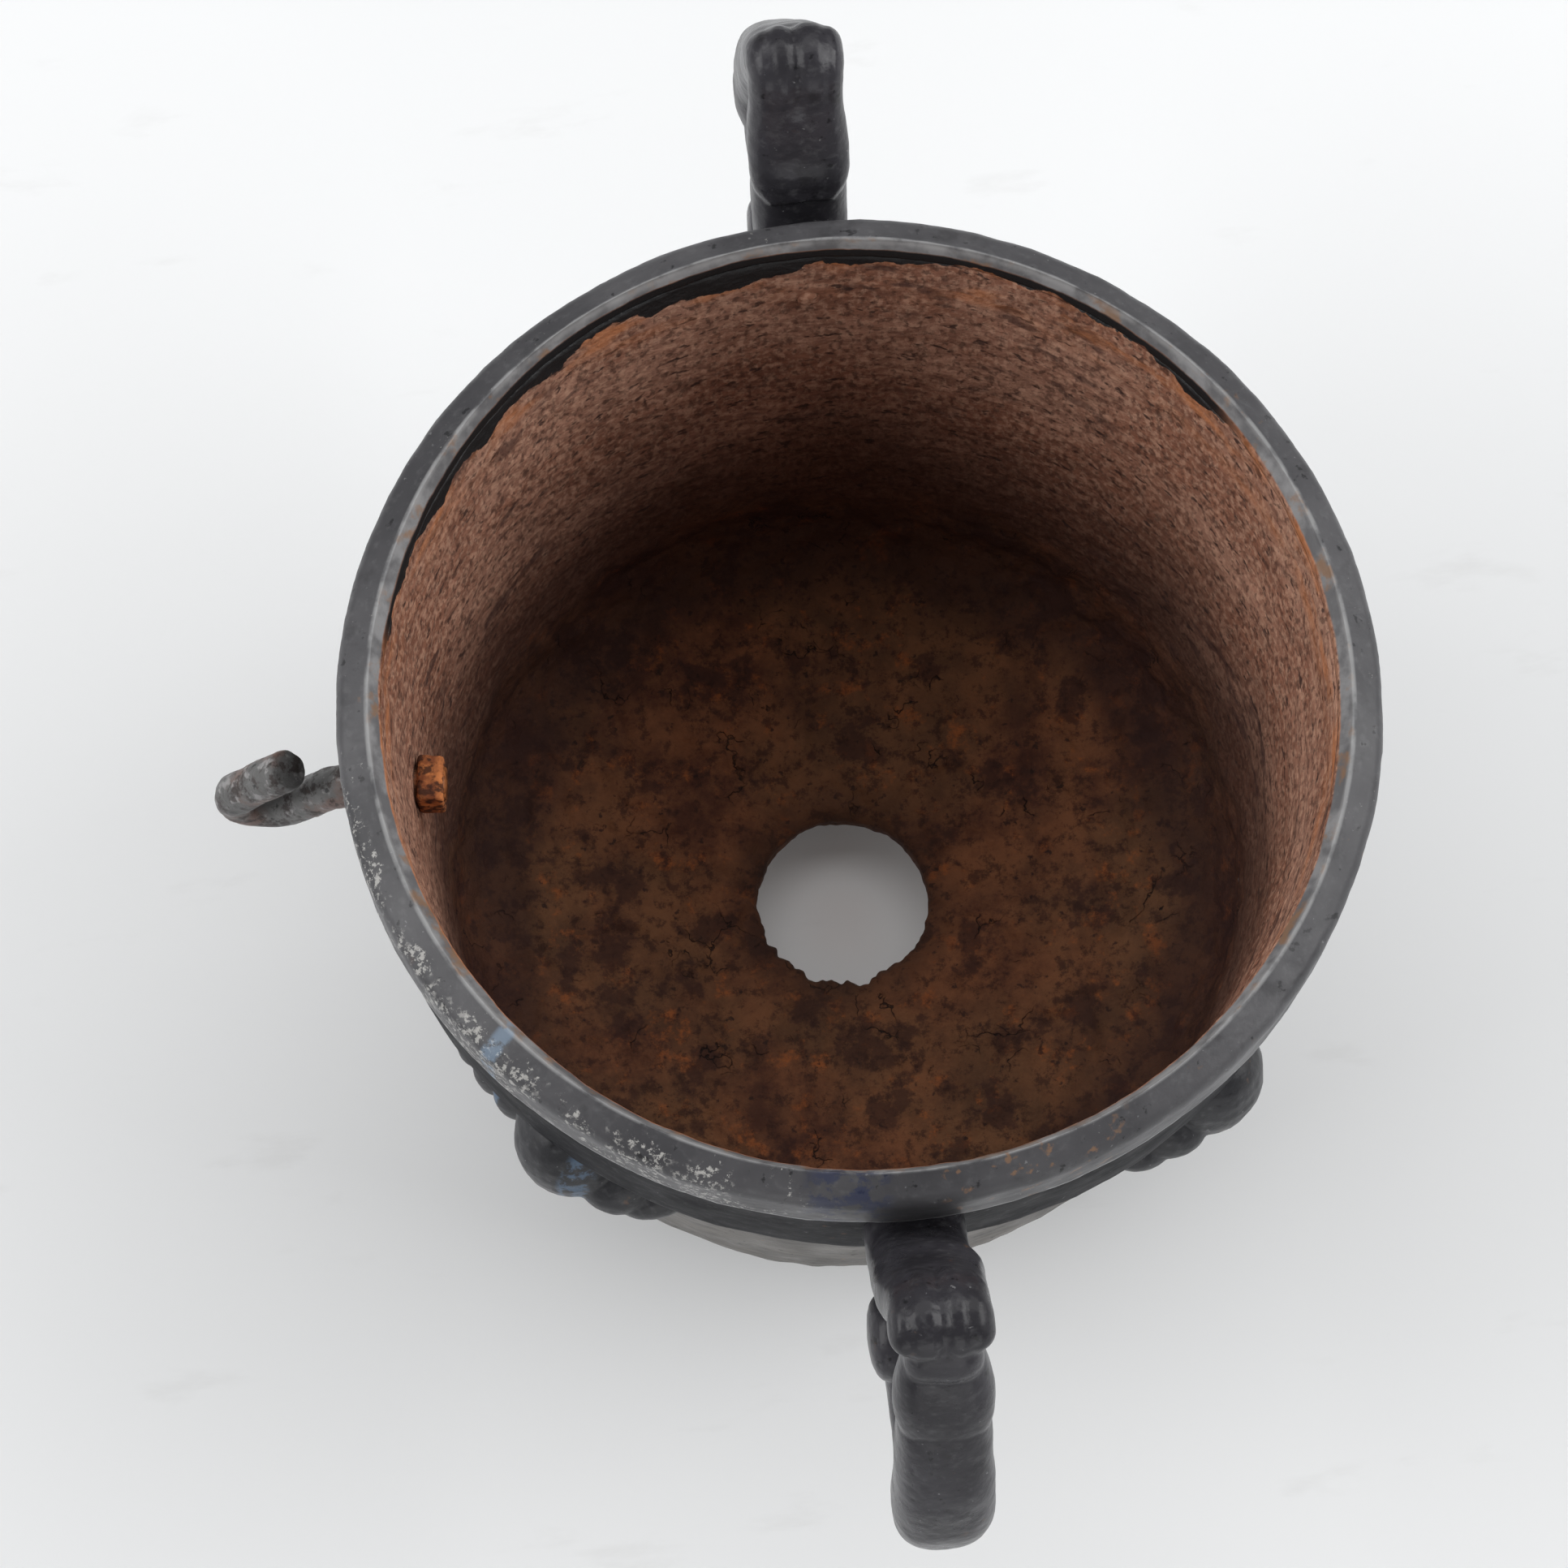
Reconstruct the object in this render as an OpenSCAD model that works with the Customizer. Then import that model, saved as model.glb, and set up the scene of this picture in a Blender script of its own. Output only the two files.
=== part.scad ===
// Round cast-iron fire pot for a coal forge: a deep pot with an air hole in its floor,
// two scroll handles, swags between bow knots, three feet and a swivelling rod hook.
// The origin is on the axis of the air hole, at the hole's lower edge. +Z is up.

/* [Pot casting] */
// Height from the lower edge of the air hole to the top of the pot casting
wall_top_z = 250; // [230:1:270]
// Outer radius of the wall, under the rim hoop
wall_r_top = 162; // [155:0.5:168]
// Outer radius of the wall where it starts to curve into the floor
wall_r_low = 150; // [140:0.5:154]
// Inner radius of the mouth
bore_r_top = 156.5; // [150:0.5:158]
// Inner radius just above the floor corner
bore_r_low = 146; // [136:0.5:148]
// Radius of the air hole in the floor
air_hole_r = 33; // [25:0.5:38]
// Length of the air hole's straight wall
air_hole_len = 10; // [8:0.5:12]

/* [Rim hoop] */
// Outermost radius of the rim, at the ridge along its lower edge
ridge_r = 170.3; // [168:0.1:174]
// Height of that ridge above the origin
ridge_z = 232; // [228:1:236]
// Height of the rounded shoulder above the ridge
shoulder_h = 20; // [14:1:24]
// Height of the rim's crest above the top of the pot casting
crest_h = 9; // [6:0.5:12]

/* [Belt band] */
// Outer radius of the flat band under the rim
belt_r = 167.6; // [164:0.1:169]
// Height of the flat band
belt_h = 52.6; // [40:0.2:60]

/* [Scroll handles] */
// Width of the handle bar across its flanks
handle_w = 33; // [26:0.5:36]
// Distance of the scroll's centre from the pot's axis
scroll_rho = 205; // [200:1:212]
// Height of the scroll's centre above the origin
scroll_z = 208; // [200:1:215]
// Radius of the scroll, to the middle of its bar
scroll_r = 45; // [42:1:50]
// Half the bar's thickness along the scroll
bar_r = 15; // [12:0.5:17]

/* [Bow knots and swags] */
// Angle of each knot from the nearer handle
knot_turn = 46; // [42:1:50]
// How far the middle of a knot stands out from the wall
knot_proud = 16; // [10:1:18]
// Drop of the swag's middle below its ends
swag_drop = 42; // [30:1:50]

/* [Hook] */
// Radius of the hook's round rod
rod_r = 6.5; // [5:0.5:7]
// Height of the hook's shank above the origin
hook_z = 162; // [158:1:164]
// Angle from the -X side towards the back handle
hook_turn = 5; // [0:1:8]
// Radius of the bend, to the middle of the rod
bend_r = 11; // [10:0.5:14]
// Width of the square nut across its flats
nut_w = 17; // [15:0.5:20]
// Thickness of the square nut
nut_t = 9; // [7:0.5:11]

/* [Feet] */
// Distance of each foot from the pot's axis
foot_rho = 104; // [95:1:112]
// Depth of the ground below the origin
foot_drop = 25; // [20:1:60]

/* [Hidden] */
$fn = 64;

shoulder_z = ridge_z + shoulder_h;
crest_z = wall_top_z + crest_h;
belt_bottom_z = ridge_z - belt_h;
wall_low_z = 52;
corner_r = 26;
bottom_r = 38;
rivet_r = 4;
foot_rivet_r = 5;
foot_angles = [90, 210, 330];
root_z = ridge_z - 21;
root_len = 22;
root_r = 20;
rivet_spread = 10;
rivet_depth = 15;
knot_z = belt_bottom_z - 20;
knot_set = 3;
rod_lap = 0.5;
shank_r = rod_r + 0.1;
hook_hole_r = shank_r + 1.7;
shank_to = 172;
droop_r = 15;
droop_len = 20.6;
tip_lean = 130;
tip_len = 30.8;
face_gap = 0.4;
nut_gap = 0.9;
handle_sides = [-1, 1];

function arc(cx, cz, r, from, to, steps = 8) =
    [for (i = [0 : steps]) let (a = from + (to - from) * i / steps) [cx + r * cos(a), cz + r * sin(a)]];
function between(low, high, t) = low + (high - low) * t;
function wall_r(z) = between(wall_r_low, wall_r_top, (z - wall_low_z) / (wall_top_z - wall_low_z));
function bore_r(z) = between(bore_r_low, bore_r_top, (z - wall_low_z) / (wall_top_z - wall_low_z));
// Height of the swag's middle line at an angle measured from the -Y handle
function swag_z(turn) = belt_bottom_z - 15 - swag_drop * (1 - pow((turn - 90) / (90 - knot_turn), 2));

outside = concat(
    [[wall_r_top, wall_top_z]],
    arc(wall_r_low - bottom_r, wall_low_z, bottom_r, 0, -90),
    [[50, 8], [46, 0], [air_hole_r, 0]]);
inside = concat(
    [[air_hole_r, air_hole_len], [44, 13.5], [60, 17]],
    arc(bore_r_low - corner_r, wall_low_z, corner_r, -75, 0),
    [[bore_r_top, wall_top_z]]);

module pot_envelope() {
    rotate_extrude($fn = 128)
        polygon(concat([[0, wall_top_z]], outside, [[0, 0]]));
}

module cavity() {
    rotate_extrude($fn = 128)
        polygon(concat([[0, air_hole_len]], inside, [[0, wall_top_z]]));
}

// A cylinder lying along the radius at an angle, from one distance to another
module radial_rod(turn, z, r, from, to) {
    rotate([0, 0, turn])
        translate([from, 0, z])
            rotate([0, 90, 0])
                cylinder(h = to - from, r = r);
}

module handle_rivet_pair(turn, from, to) {
    for (side = [-1, 1])
        radial_rod(turn, root_z + side * rivet_spread, rivet_r, from, to);
}

module fire_pot() {
    color([0.27, 0.2, 0.17])
        difference() {
            rotate_extrude($fn = 128)
                polygon(concat(outside, inside));
            for (side = handle_sides)
                handle_rivet_pair(side * 90, bore_r_low, ridge_r);
            radial_rod(180 - hook_turn, hook_z, hook_hole_r, bore_r_low - 5, ridge_r);
            for (turn = foot_angles)
                rotate([0, 0, turn])
                    translate([foot_rho, 0, -5])
                        cylinder(h = 50, r = foot_rivet_r);
        }
}

// The ring caps the wall: it sits on the casting's top edge and laps down outside it
module rim_hoop() {
    color([0.27, 0.27, 0.29])
        rotate_extrude($fn = 128)
            polygon(concat(
                [[bore_r_top, wall_top_z], [bore_r_top, crest_z - 4.5], [bore_r_top + 3, crest_z]],
                arc(ridge_r - 6.3, shoulder_z - 2, 6, 75, 0, 6),
                [[ridge_r, ridge_z + 2], [ridge_r - 1, ridge_z],
                 [wall_r(ridge_z), ridge_z], [wall_r_top, wall_top_z]]));
}

module belt_band() {
    color([0.25, 0.25, 0.27])
        difference() {
            rotate_extrude($fn = 128)
                polygon([[wall_r(ridge_z), ridge_z], [belt_r - 1.5, ridge_z], [belt_r, ridge_z - 3],
                         [belt_r, belt_bottom_z + 3], [belt_r - 2.5, belt_bottom_z],
                         [wall_r(belt_bottom_z), belt_bottom_z]]);
            for (side = handle_sides)
                handle_rivet_pair(side * 90, bore_r_low, ridge_r + 5);
        }
}

// One handle, in the plane of +X: a root boss, a rising arm, a fluted crest, two husks down the
// outside of the scroll, and the curl at its lower end
module scroll_handle() {
    crest = [scroll_rho + 5, scroll_z + 74];
    arm_foot = [185, root_z - 2];
    arm_tilt = atan2(crest[0] - 4 - arm_foot[0], crest[1] - 4 - arm_foot[1]);
    arm_len = norm([crest[0] - 4 - arm_foot[0], crest[1] - 4 - arm_foot[1]]);
    difference() {
        union() {
            translate([belt_r, 0, root_z])
                rotate([0, 90, 0])
                    cylinder(h = root_len, r1 = root_r, r2 = root_r - 5);
            translate([arm_foot[0], 0, arm_foot[1]])
                rotate([0, arm_tilt, 0])
                    cylinder(h = arm_len, r = bar_r);
            translate([arm_foot[0], 0, arm_foot[1]])
                sphere(r = bar_r + 1.2);
            for (side = [-1, 0, 1])
                translate([crest[0], side * (handle_w / 2 - 11), crest[1]])
                    sphere(r = side == 0 ? 18 : 17);
            translate([scroll_rho, 0, scroll_z])
                rotate([90, 0, 0])
                    rotate([0, 0, -105])
                        rotate_extrude(angle = 180)
                            translate([scroll_r, 0])
                                circle(r = bar_r);
            translate([scroll_rho + 20, 0, scroll_z + 55])
                sphere(r = bar_r + 2);
            translate([scroll_rho + scroll_r * cos(25), 0, scroll_z + scroll_r * sin(25)])
                sphere(r = bar_r + 1.5);
            translate([scroll_rho + scroll_r * cos(-105), 0, scroll_z + scroll_r * sin(-105)])
                sphere(r = bar_r + 0.8);
            translate([scroll_rho - 8, 0, scroll_z - 27])
                sphere(r = handle_w / 2);
        }
        pot_side_cut();
        handle_rivet_pair(0, belt_r - 10, belt_r + rivet_depth);
    }
}

// Everything inside the belt's outer face, so that the root boss seats on the belt
module pot_side_cut() {
    translate([0, 0, -10])
        cylinder(h = 400, r = belt_r, $fn = 128);
}

module handle_front() {
    color([0.26, 0.26, 0.28])
        rotate([0, 0, -90])
            scroll_handle();
}

module handle_back() {
    color([0.26, 0.26, 0.28])
        rotate([0, 0, 90])
            scroll_handle();
}

// Two rivets hold each handle: flush with the bore inside, blind in the handle's root
module handle_rivets() {
    color([0.3, 0.24, 0.2])
        difference() {
            for (side = handle_sides)
                handle_rivet_pair(side * 90, bore_r_low, belt_r + rivet_depth);
            cavity();
        }
}

module foot(turn) {
    color([0.25, 0.25, 0.27])
        rotate([0, 0, turn])
            difference() {
                union() {
                    translate([foot_rho, 0, -foot_drop + 8])
                        cylinder(h = foot_drop + 40, r1 = 9, r2 = 19);
                    translate([foot_rho, 0, -foot_drop])
                        cylinder(h = 10, r1 = 14, r2 = 12);
                }
                pot_envelope();
                translate([foot_rho, 0, -12])
                    cylinder(h = 60, r = foot_rivet_r);
            }
}

module foot_1() { foot(foot_angles[0]); }
module foot_2() { foot(foot_angles[1]); }
module foot_3() { foot(foot_angles[2]); }

module foot_rivets() {
    color([0.3, 0.24, 0.2])
        difference() {
            for (turn = foot_angles)
                rotate([0, 0, turn])
                    translate([foot_rho, 0, -12])
                        cylinder(h = 45, r = foot_rivet_r);
            cavity();
        }
}

// The straight part of the wall, without its rounded foot
module wall_cone() {
    translate([0, 0, wall_low_z])
        cylinder(h = wall_top_z - wall_low_z, r1 = wall_r_low, r2 = wall_r_top, $fn = 128);
}

// One fold of a knot at an angle about +Z. It is set into the wall by depth.
module knot_fold(turn, lift, r, depth) {
    rotate([0, 0, turn])
        translate([wall_r(knot_z) - depth, 0, knot_z + lift])
            sphere(r = r);
}

// A knot seen from outside: one big fold and two smaller ones towards the handle.
// turn is the big fold's angle about +Z, and side says on which side the handle is.
module bow_knot(turn, side) {
    color([0.25, 0.25, 0.27])
        difference() {
            union() {
                knot_fold(turn, 0, knot_proud + 2, knot_set);
                knot_fold(turn + side * 5.5, 2, 12, 1.5);
                knot_fold(turn + side * 10.5, 4, 9.5, 0.5);
            }
            wall_cone();
        }
}

module knot_front_left() { bow_knot(-90 - knot_turn, 1); }
module knot_front_right() { bow_knot(-90 + knot_turn, -1); }
module knot_back_left() { bow_knot(90 + knot_turn, -1); }
module knot_back_right() { bow_knot(90 - knot_turn, 1); }

// A swag of overlapping scallops that hangs from knot to knot across one side of the pot.
// The scallops shrink from each knot towards the middle, and each end stops just short of its knot.
module festoon(side) {
    scallops = [11.5, 17, 22, 26.5, 31, 35.5, 39.5, 43];
    color([0.25, 0.25, 0.27])
        difference() {
            for (half = [-1, 1], i = [0 : len(scallops) - 1]) {
                turn = 90 + half * (90 - knot_turn - scallops[i]);
                z = swag_z(turn);
                rotate([0, 0, -90 + side * turn])
                    translate([wall_r(z) - 1, 0, z])
                        sphere(r = 12.5 - 0.5 * i);
            }
            wall_cone();
        }
}

module festoon_left() { festoon(-1); }
module festoon_right() { festoon(1); }

// A straight length of the hook's rod along +Z, and what follows it. It is a hair thicker than
// the bends and laps over their ends.
module straight(len) {
    translate([0, 0, -rod_lap])
        cylinder(h = len + 2 * rod_lap, r = shank_r);
    translate([0, 0, len])
        children();
}

// A bend of the hook's rod from +Z towards +X, and what follows it
module bend(r, angle) {
    translate([r, 0, 0])
        rotate([90, 0, 0])
            rotate([0, 0, 180 - angle])
                rotate_extrude(angle = angle)
                    translate([r, 0])
                        circle(r = rod_r);
    translate([r - r * cos(angle), 0, r * sin(angle)])
        rotate([0, angle, 0])
            children();
}

// The hook runs outward: a threaded shank through the wall, a forged shoulder against the
// wall's outside, a bend down, a tight bend back up and a tip that leans towards the pot
module hook() {
    shank_from = bore_r(hook_z) - nut_gap - nut_t - 2;
    shoulder_from = wall_r(hook_z + rod_r) + face_gap;
    droop = 48;
    color([0.35, 0.34, 0.34])
        rotate([0, 0, 180 - hook_turn])
            translate([0, 0, hook_z]) {
                translate([shank_from, 0, 0])
                    rotate([0, 90, 0])
                        straight(shank_to - shank_from)
                            bend(droop_r, droop)
                                straight(droop_len)
                                    rotate([0, 0, 180])
                                        bend(bend_r, droop + tip_lean)
                                            straight(tip_len);
                translate([shoulder_from, 0, 0])
                    rotate([0, 90, 0])
                        cylinder(h = 5, r1 = rod_r + 5, r2 = rod_r + 3);
            }
}

module hook_nut() {
    color([0.5, 0.26, 0.12])
        rotate([0, 0, 180 - hook_turn])
            translate([bore_r(hook_z) - nut_gap - nut_t, 0, hook_z])
                rotate([0, 90, 0])
                    difference() {
                        translate([-nut_w / 2, -nut_w / 2, 0])
                            cube([nut_w, nut_w, nut_t]);
                        translate([0, 0, -1])
                            cylinder(h = nut_t + 2, r = shank_r + 0.03);
                    }
}

fire_pot();
rim_hoop();
belt_band();
handle_front();
handle_back();
handle_rivets();
foot_1();
foot_2();
foot_3();
foot_rivets();
knot_front_left();
knot_front_right();
knot_back_left();
knot_back_right();
festoon_left();
festoon_right();
hook();
hook_nut();
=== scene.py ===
import math

import bpy
import numpy as np
from mathutils import Matrix, Vector, noise


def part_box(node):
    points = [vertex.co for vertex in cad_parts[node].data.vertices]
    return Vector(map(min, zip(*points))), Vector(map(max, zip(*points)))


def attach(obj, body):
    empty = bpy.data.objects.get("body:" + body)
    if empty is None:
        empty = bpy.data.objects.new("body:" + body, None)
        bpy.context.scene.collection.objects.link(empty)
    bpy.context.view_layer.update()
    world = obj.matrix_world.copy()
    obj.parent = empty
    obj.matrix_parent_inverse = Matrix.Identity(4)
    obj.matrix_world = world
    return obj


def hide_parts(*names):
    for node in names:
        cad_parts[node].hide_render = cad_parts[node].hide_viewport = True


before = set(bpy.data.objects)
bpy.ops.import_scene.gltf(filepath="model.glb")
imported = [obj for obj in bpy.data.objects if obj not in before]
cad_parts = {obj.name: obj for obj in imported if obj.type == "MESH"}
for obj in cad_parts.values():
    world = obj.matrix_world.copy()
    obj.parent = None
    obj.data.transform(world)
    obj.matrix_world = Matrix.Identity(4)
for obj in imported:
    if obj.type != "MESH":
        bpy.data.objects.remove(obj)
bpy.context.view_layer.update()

# ---- Camera -------------------------------------------------------------------------------
# The pot is looked down into from the front and a little to the left, steeply enough to show
# the whole floor, with a handle at the top and bottom and the hook on the left.
rim_low, rim_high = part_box("rim_hoop")
rim_r = rim_high.x
shoulder_z = rim_high.z - 0.007
look_down = math.radians(72.05)
look_from = math.radians(-7.2)
camera_roll = math.radians(1.385)
camera_back = 6.96 * rim_r
camera_aside = 0.1448 * rim_r
camera_above = 0.1732 * rim_r
camera = bpy.data.objects.new("camera", bpy.data.cameras.new("camera"))
camera.data.lens = 83.85
camera.data.clip_end = 20
camera.matrix_world = (
    Matrix.Translation((0, 0, shoulder_z))
    @ Matrix.Rotation(look_from, 4, "Z")
    @ Matrix.Rotation(math.pi / 2 - look_down, 4, "X")
    @ Matrix.Rotation(camera_roll, 4, "Z")
    @ Matrix.Translation((-camera_aside, -camera_above, camera_back))
)
bpy.context.scene.collection.objects.link(camera)
bpy.context.scene.camera = camera
bpy.context.scene.view_settings.view_transform = "Standard"

# ---- Floor and lights ---------------------------------------------------------------------
# A pale painted floor, faintly scuffed, with a soft box above and behind the pot, one at each
# side and a low one in front. The walls of the studio are white and light everything evenly.
ground_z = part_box("foot_1")[0].z


def new_object(name, mesh):
    """Puts a mesh into the scene."""
    made = bpy.data.objects.new(name, mesh)
    bpy.context.scene.collection.objects.link(made)
    return made


def new_material(name):
    """A material with its node tree, empty but for the shader and the output."""
    material = bpy.data.materials.new(name)
    material.use_nodes = True
    return material, material.node_tree, material.node_tree.nodes["Principled BSDF"]


def node(tree, kind, inputs, output=0, **settings):
    """Adds a node, fills its inputs with numbers or with other nodes' outputs, returns an output."""
    made = tree.nodes.new("ShaderNode" + kind)
    for key, value in settings.items():
        setattr(made, key, value)
    for key, value in inputs.items():
        if isinstance(value, bpy.types.NodeSocket):
            tree.links.new(value, made.inputs[key])
        else:
            made.inputs[key].default_value = value
    return made.outputs[output]


def place(tree, stretch=(1, 1, 1), shift=(0, 0, 0)):
    """Where a point of the surface is in the frame, in metres, stretched to lengthen a pattern."""
    here = node(tree, "TexCoord", {}, "Object")
    return node(tree, "Mapping", {"Vector": here, "Scale": stretch, "Location": shift})


def mottle(tree, size, detail=4.0, stretch=(1, 1, 1), shift=(0, 0, 0), rough=0.55):
    """Cloudy noise from 0 to 1, whose clouds are about size metres across."""
    at = place(tree, stretch, shift)
    return node(tree, "TexNoise", {"Vector": at, "Scale": 0.6 / size, "Detail": detail,
                                   "Roughness": rough}, "Fac")


def between(tree, value, low, high):
    """0 where the value is under low, 1 where it is over high, and smooth from one to the other."""
    return node(tree, "MapRange", {"Value": value, "From Min": low, "From Max": high},
                interpolation_type="SMOOTHSTEP")


def times(tree, a, b):
    """The product of two values."""
    return node(tree, "Math", {0: a, 1: b}, operation="MULTIPLY")


def coat(tree, mask, under, over):
    """One colour over another, where the mask is 1."""
    rgba = [c if isinstance(c, bpy.types.NodeSocket) else (*c, 1) for c in (under, over)]
    return node(tree, "Mix", {0: mask, 6: rgba[0], 7: rgba[1]}, 2, data_type="RGBA")


floor_material, tree, shader = new_material("scuffed_white_floor")
scuffs = between(tree, mottle(tree, 0.05, 8, (1, 3, 1)), 0.62, 0.75)
shade = coat(tree, mottle(tree, 0.5, 3), (0.80, 0.81, 0.82), (0.86, 0.865, 0.87))
tree.links.new(coat(tree, times(tree, scuffs, 0.12), shade, (0.45, 0.44, 0.42)),
               shader.inputs["Base Color"])
shader.inputs["Roughness"].default_value = 0.6
floor_half = 6.0
floor_mesh = bpy.data.meshes.new("floor")
floor_mesh.from_pydata([(-floor_half, -floor_half, ground_z), (floor_half, -floor_half, ground_z),
                        (floor_half, floor_half, ground_z), (-floor_half, floor_half, ground_z)],
                       [], [(0, 1, 2, 3)])
floor_mesh.materials.append(floor_material)
new_object("floor", floor_mesh)


def soft_box(name, at, aim, width, height, power):
    """A rectangular studio light that faces a point."""
    lamp = bpy.data.lights.new(name, "AREA")
    lamp.shape = "RECTANGLE"
    lamp.size, lamp.size_y, lamp.energy = width, height, power
    made = bpy.data.objects.new(name, lamp)
    made.location = at
    made.rotation_mode = "QUATERNION"
    made.rotation_quaternion = (Vector(aim) - Vector(at)).to_track_quat("-Z", "Y")
    bpy.context.scene.collection.objects.link(made)


soft_box("overhead_soft_box", (0, 1.15, 2.2), (0, 1.15, 0), 5.0, 2.0, 44)
soft_box("left_soft_box", (-2.2, -0.1, 1.5), (0, 0, 0.1), 2.0, 1.6, 38)
soft_box("right_soft_box", (2.2, -0.1, 1.5), (0, 0, 0.1), 2.0, 1.6, 42)
soft_box("front_soft_box", (0, -2.6, 0.5), (0, 0, 0.1), 2.6, 0.9, 15)
world = bpy.data.worlds.new("white_studio")
world.use_nodes = True
world.node_tree.nodes["Background"].inputs["Color"].default_value = (0.99, 1.0, 1.0, 1)
world.node_tree.nodes["Background"].inputs["Strength"].default_value = 0.195
bpy.context.scene.world = world

# ---- Pot casting --------------------------------------------------------------------------
# The pot is one iron casting: a slightly tapered wall, a dished floor and a burnt-out air hole
# in its middle. Fire and rain have rusted the inside; the outside has old paint over pits.
mm = 0.001
pot_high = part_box("fire_pot")[1]
wall_top_z = pot_high.z
wall_r_top = pot_high.x
wall_low_z = 52 * mm
wall_taper = 12 * mm
wall_r_low = wall_r_top - wall_taper
bore_r_top = rim_r - 13.8 * mm
bore_r_low = bore_r_top - 10.5 * mm
corner_r = 26 * mm
bottom_r = 38 * mm
air_hole_r = 33 * mm
air_hole_len = 10 * mm
hook_azimuth = math.radians(175)
hook_z = 162 * mm


def arc(cx, cz, r, start, end, steps=10):
    """Points on a circle of an outline, between two angles in degrees."""
    angles = np.radians(np.linspace(start, end, steps + 1))
    return [(cx + r * math.cos(a), cz + r * math.sin(a)) for a in angles]


def walk(corners, step, closed=True):
    """The outline's corners with points between them, no further apart than step."""
    ends = corners[1:] + corners[:1] if closed else corners[1:]
    points = []
    for (r0, z0), (r1, z1) in zip(corners, ends):
        count = max(1, round(math.hypot(r1 - r0, z1 - z0) / step))
        points += [(r0 + (r1 - r0) * k / count, z0 + (z1 - z0) * k / count) for k in range(count)]
    return points if closed else points + [corners[-1]]


def rings_to_mesh(name, rings, loop=False):
    """A skin over rings of points. The ends are capped, or joined to each other in a loop."""
    rings = np.asarray(rings, float)
    count, around = rings.shape[:2]
    i, j = np.meshgrid(np.arange(count if loop else count - 1), np.arange(around), indexing="ij")
    i, j = i.ravel(), j.ravel()
    after, beside = (i + 1) % count, (j + 1) % around
    faces = np.stack([i * around + j, after * around + j,
                      after * around + beside, i * around + beside], 1).tolist()
    points = rings.reshape(-1, 3).tolist()
    if not loop:
        for k, turn in ((0, 1), (count - 1, -1)):
            points.append(rings[k].mean(0).tolist())
            hub = len(points) - 1
            rim = [k * around + n for n in range(around)]
            faces += [[hub, rim[n], rim[(n + 1) % around]][::turn] for n in range(around)]
    mesh = bpy.data.meshes.new(name)
    mesh.from_pydata(points, [], faces)
    mesh.validate()
    mesh.shade_smooth()
    return mesh


def lathe(name, outline, turns, reshape=None):
    """A closed outline of (radius, height), turned about the pot's axis."""
    rings = []
    for k in range(turns):
        a = math.tau * k / turns
        section = [reshape(r, z, a) for r, z in outline] if reshape else outline
        rings.append([(r * math.cos(a), r * math.sin(a), z) for r, z in section])
    return rings_to_mesh(name, rings, loop=True)


def points_of(mesh, field="co"):
    """The mesh's vertices, or their normals, as rows."""
    rows = np.empty(len(mesh.vertices) * 3)
    mesh.vertices.foreach_get(field, rows)
    return rows.reshape(-1, 3)


def roughen(mesh, lumps, where=None):
    """Moves the skin in and out: lumps are (size, height, offset) of soft noise, in metres."""
    points, normals = points_of(mesh), points_of(mesh, "normal")
    lift = np.zeros(len(points))
    for size, height, offset in lumps:
        shift = Vector((offset, -offset, offset))
        lift += height * np.array([noise.noise(Vector(p) / size + shift) for p in points])
    if where is not None:
        lift *= where(points)
    mesh.vertices.foreach_set("co", (points + normals * lift[:, None]).ravel())
    mesh.update()


oval_by = 1.25 * mm
oval_from_z = 150 * mm


def oval_mouth(r, z, a):
    """The mouth has gone slightly oval: narrower from side to side than from front to back."""
    inner = r < bore_r_top + 1.5 * mm
    share = max(0.0, (z - oval_from_z) / (wall_top_z - oval_from_z))
    return (r - oval_by * share * math.cos(2 * a), z) if inner else (r, z)


def ragged_hole(r, z, a):
    """The air hole's lower edge has burnt away in bites on the side towards the front."""
    r, z = oval_mouth(r, z, a)
    if r < air_hole_r + 4 * mm and z < air_hole_len + 2 * mm:
        front = max(0.0, -math.sin(a + 0.35)) ** 0.7
        bites = noise.noise(Vector((6 * math.cos(a), 6 * math.sin(a), 2.7)))
        fine = noise.noise(Vector((13 * math.cos(a), 13 * math.sin(a), 5.1)))
        r += front * (3.2 * bites + 1.0 * fine) * mm + 0.4 * fine * mm
    return r, z


pot_outside = [(wall_r_top - 0.3 * mm, wall_top_z - 0.5 * mm)]
pot_outside += arc(wall_r_low - bottom_r, wall_low_z, bottom_r, 0, -90)
pot_outside += [(50 * mm, 8 * mm), (46 * mm, 1.2 * mm), (44 * mm, 0.3 * mm),
                (air_hole_r + 2 * mm, 0.2 * mm)]
pot_inside = [(air_hole_r + 0.4 * mm, 1.8 * mm), (air_hole_r + 0.2 * mm, 8 * mm),
              (air_hole_r + 1.5 * mm, air_hole_len - 0.2 * mm), (44 * mm, 13.7 * mm),
              (60 * mm, 17 * mm)]
pot_inside += arc(bore_r_low - corner_r, wall_low_z, corner_r, -75, 0)
pot_inside += [(bore_r_top, wall_top_z - 0.5 * mm)]
pot_outline = walk(pot_outside, 4 * mm, closed=False) + walk(pot_inside, 2.2 * mm, closed=False)
pot_mesh = lathe("pot", pot_outline[::-1], 400, ragged_hole)


def bore_r(z):
    """The wall's inner radius at a height."""
    return bore_r_low + (z - wall_low_z) * (bore_r_top - bore_r_low) / (wall_top_z - wall_low_z)


def inside_share(points):
    """1 on the rusted inside of the pot and less on the outside."""
    r = np.hypot(points[:, 0], points[:, 1])
    inner = (r < bore_r(points[:, 2]) + 2 * mm) & (points[:, 2] > air_hole_len)
    rough_floor = np.clip((110 * mm - points[:, 2]) / (60 * mm), 0, 1)
    return np.where(inner, 0.45 + 0.75 * rough_floor, 0.45)


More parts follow.
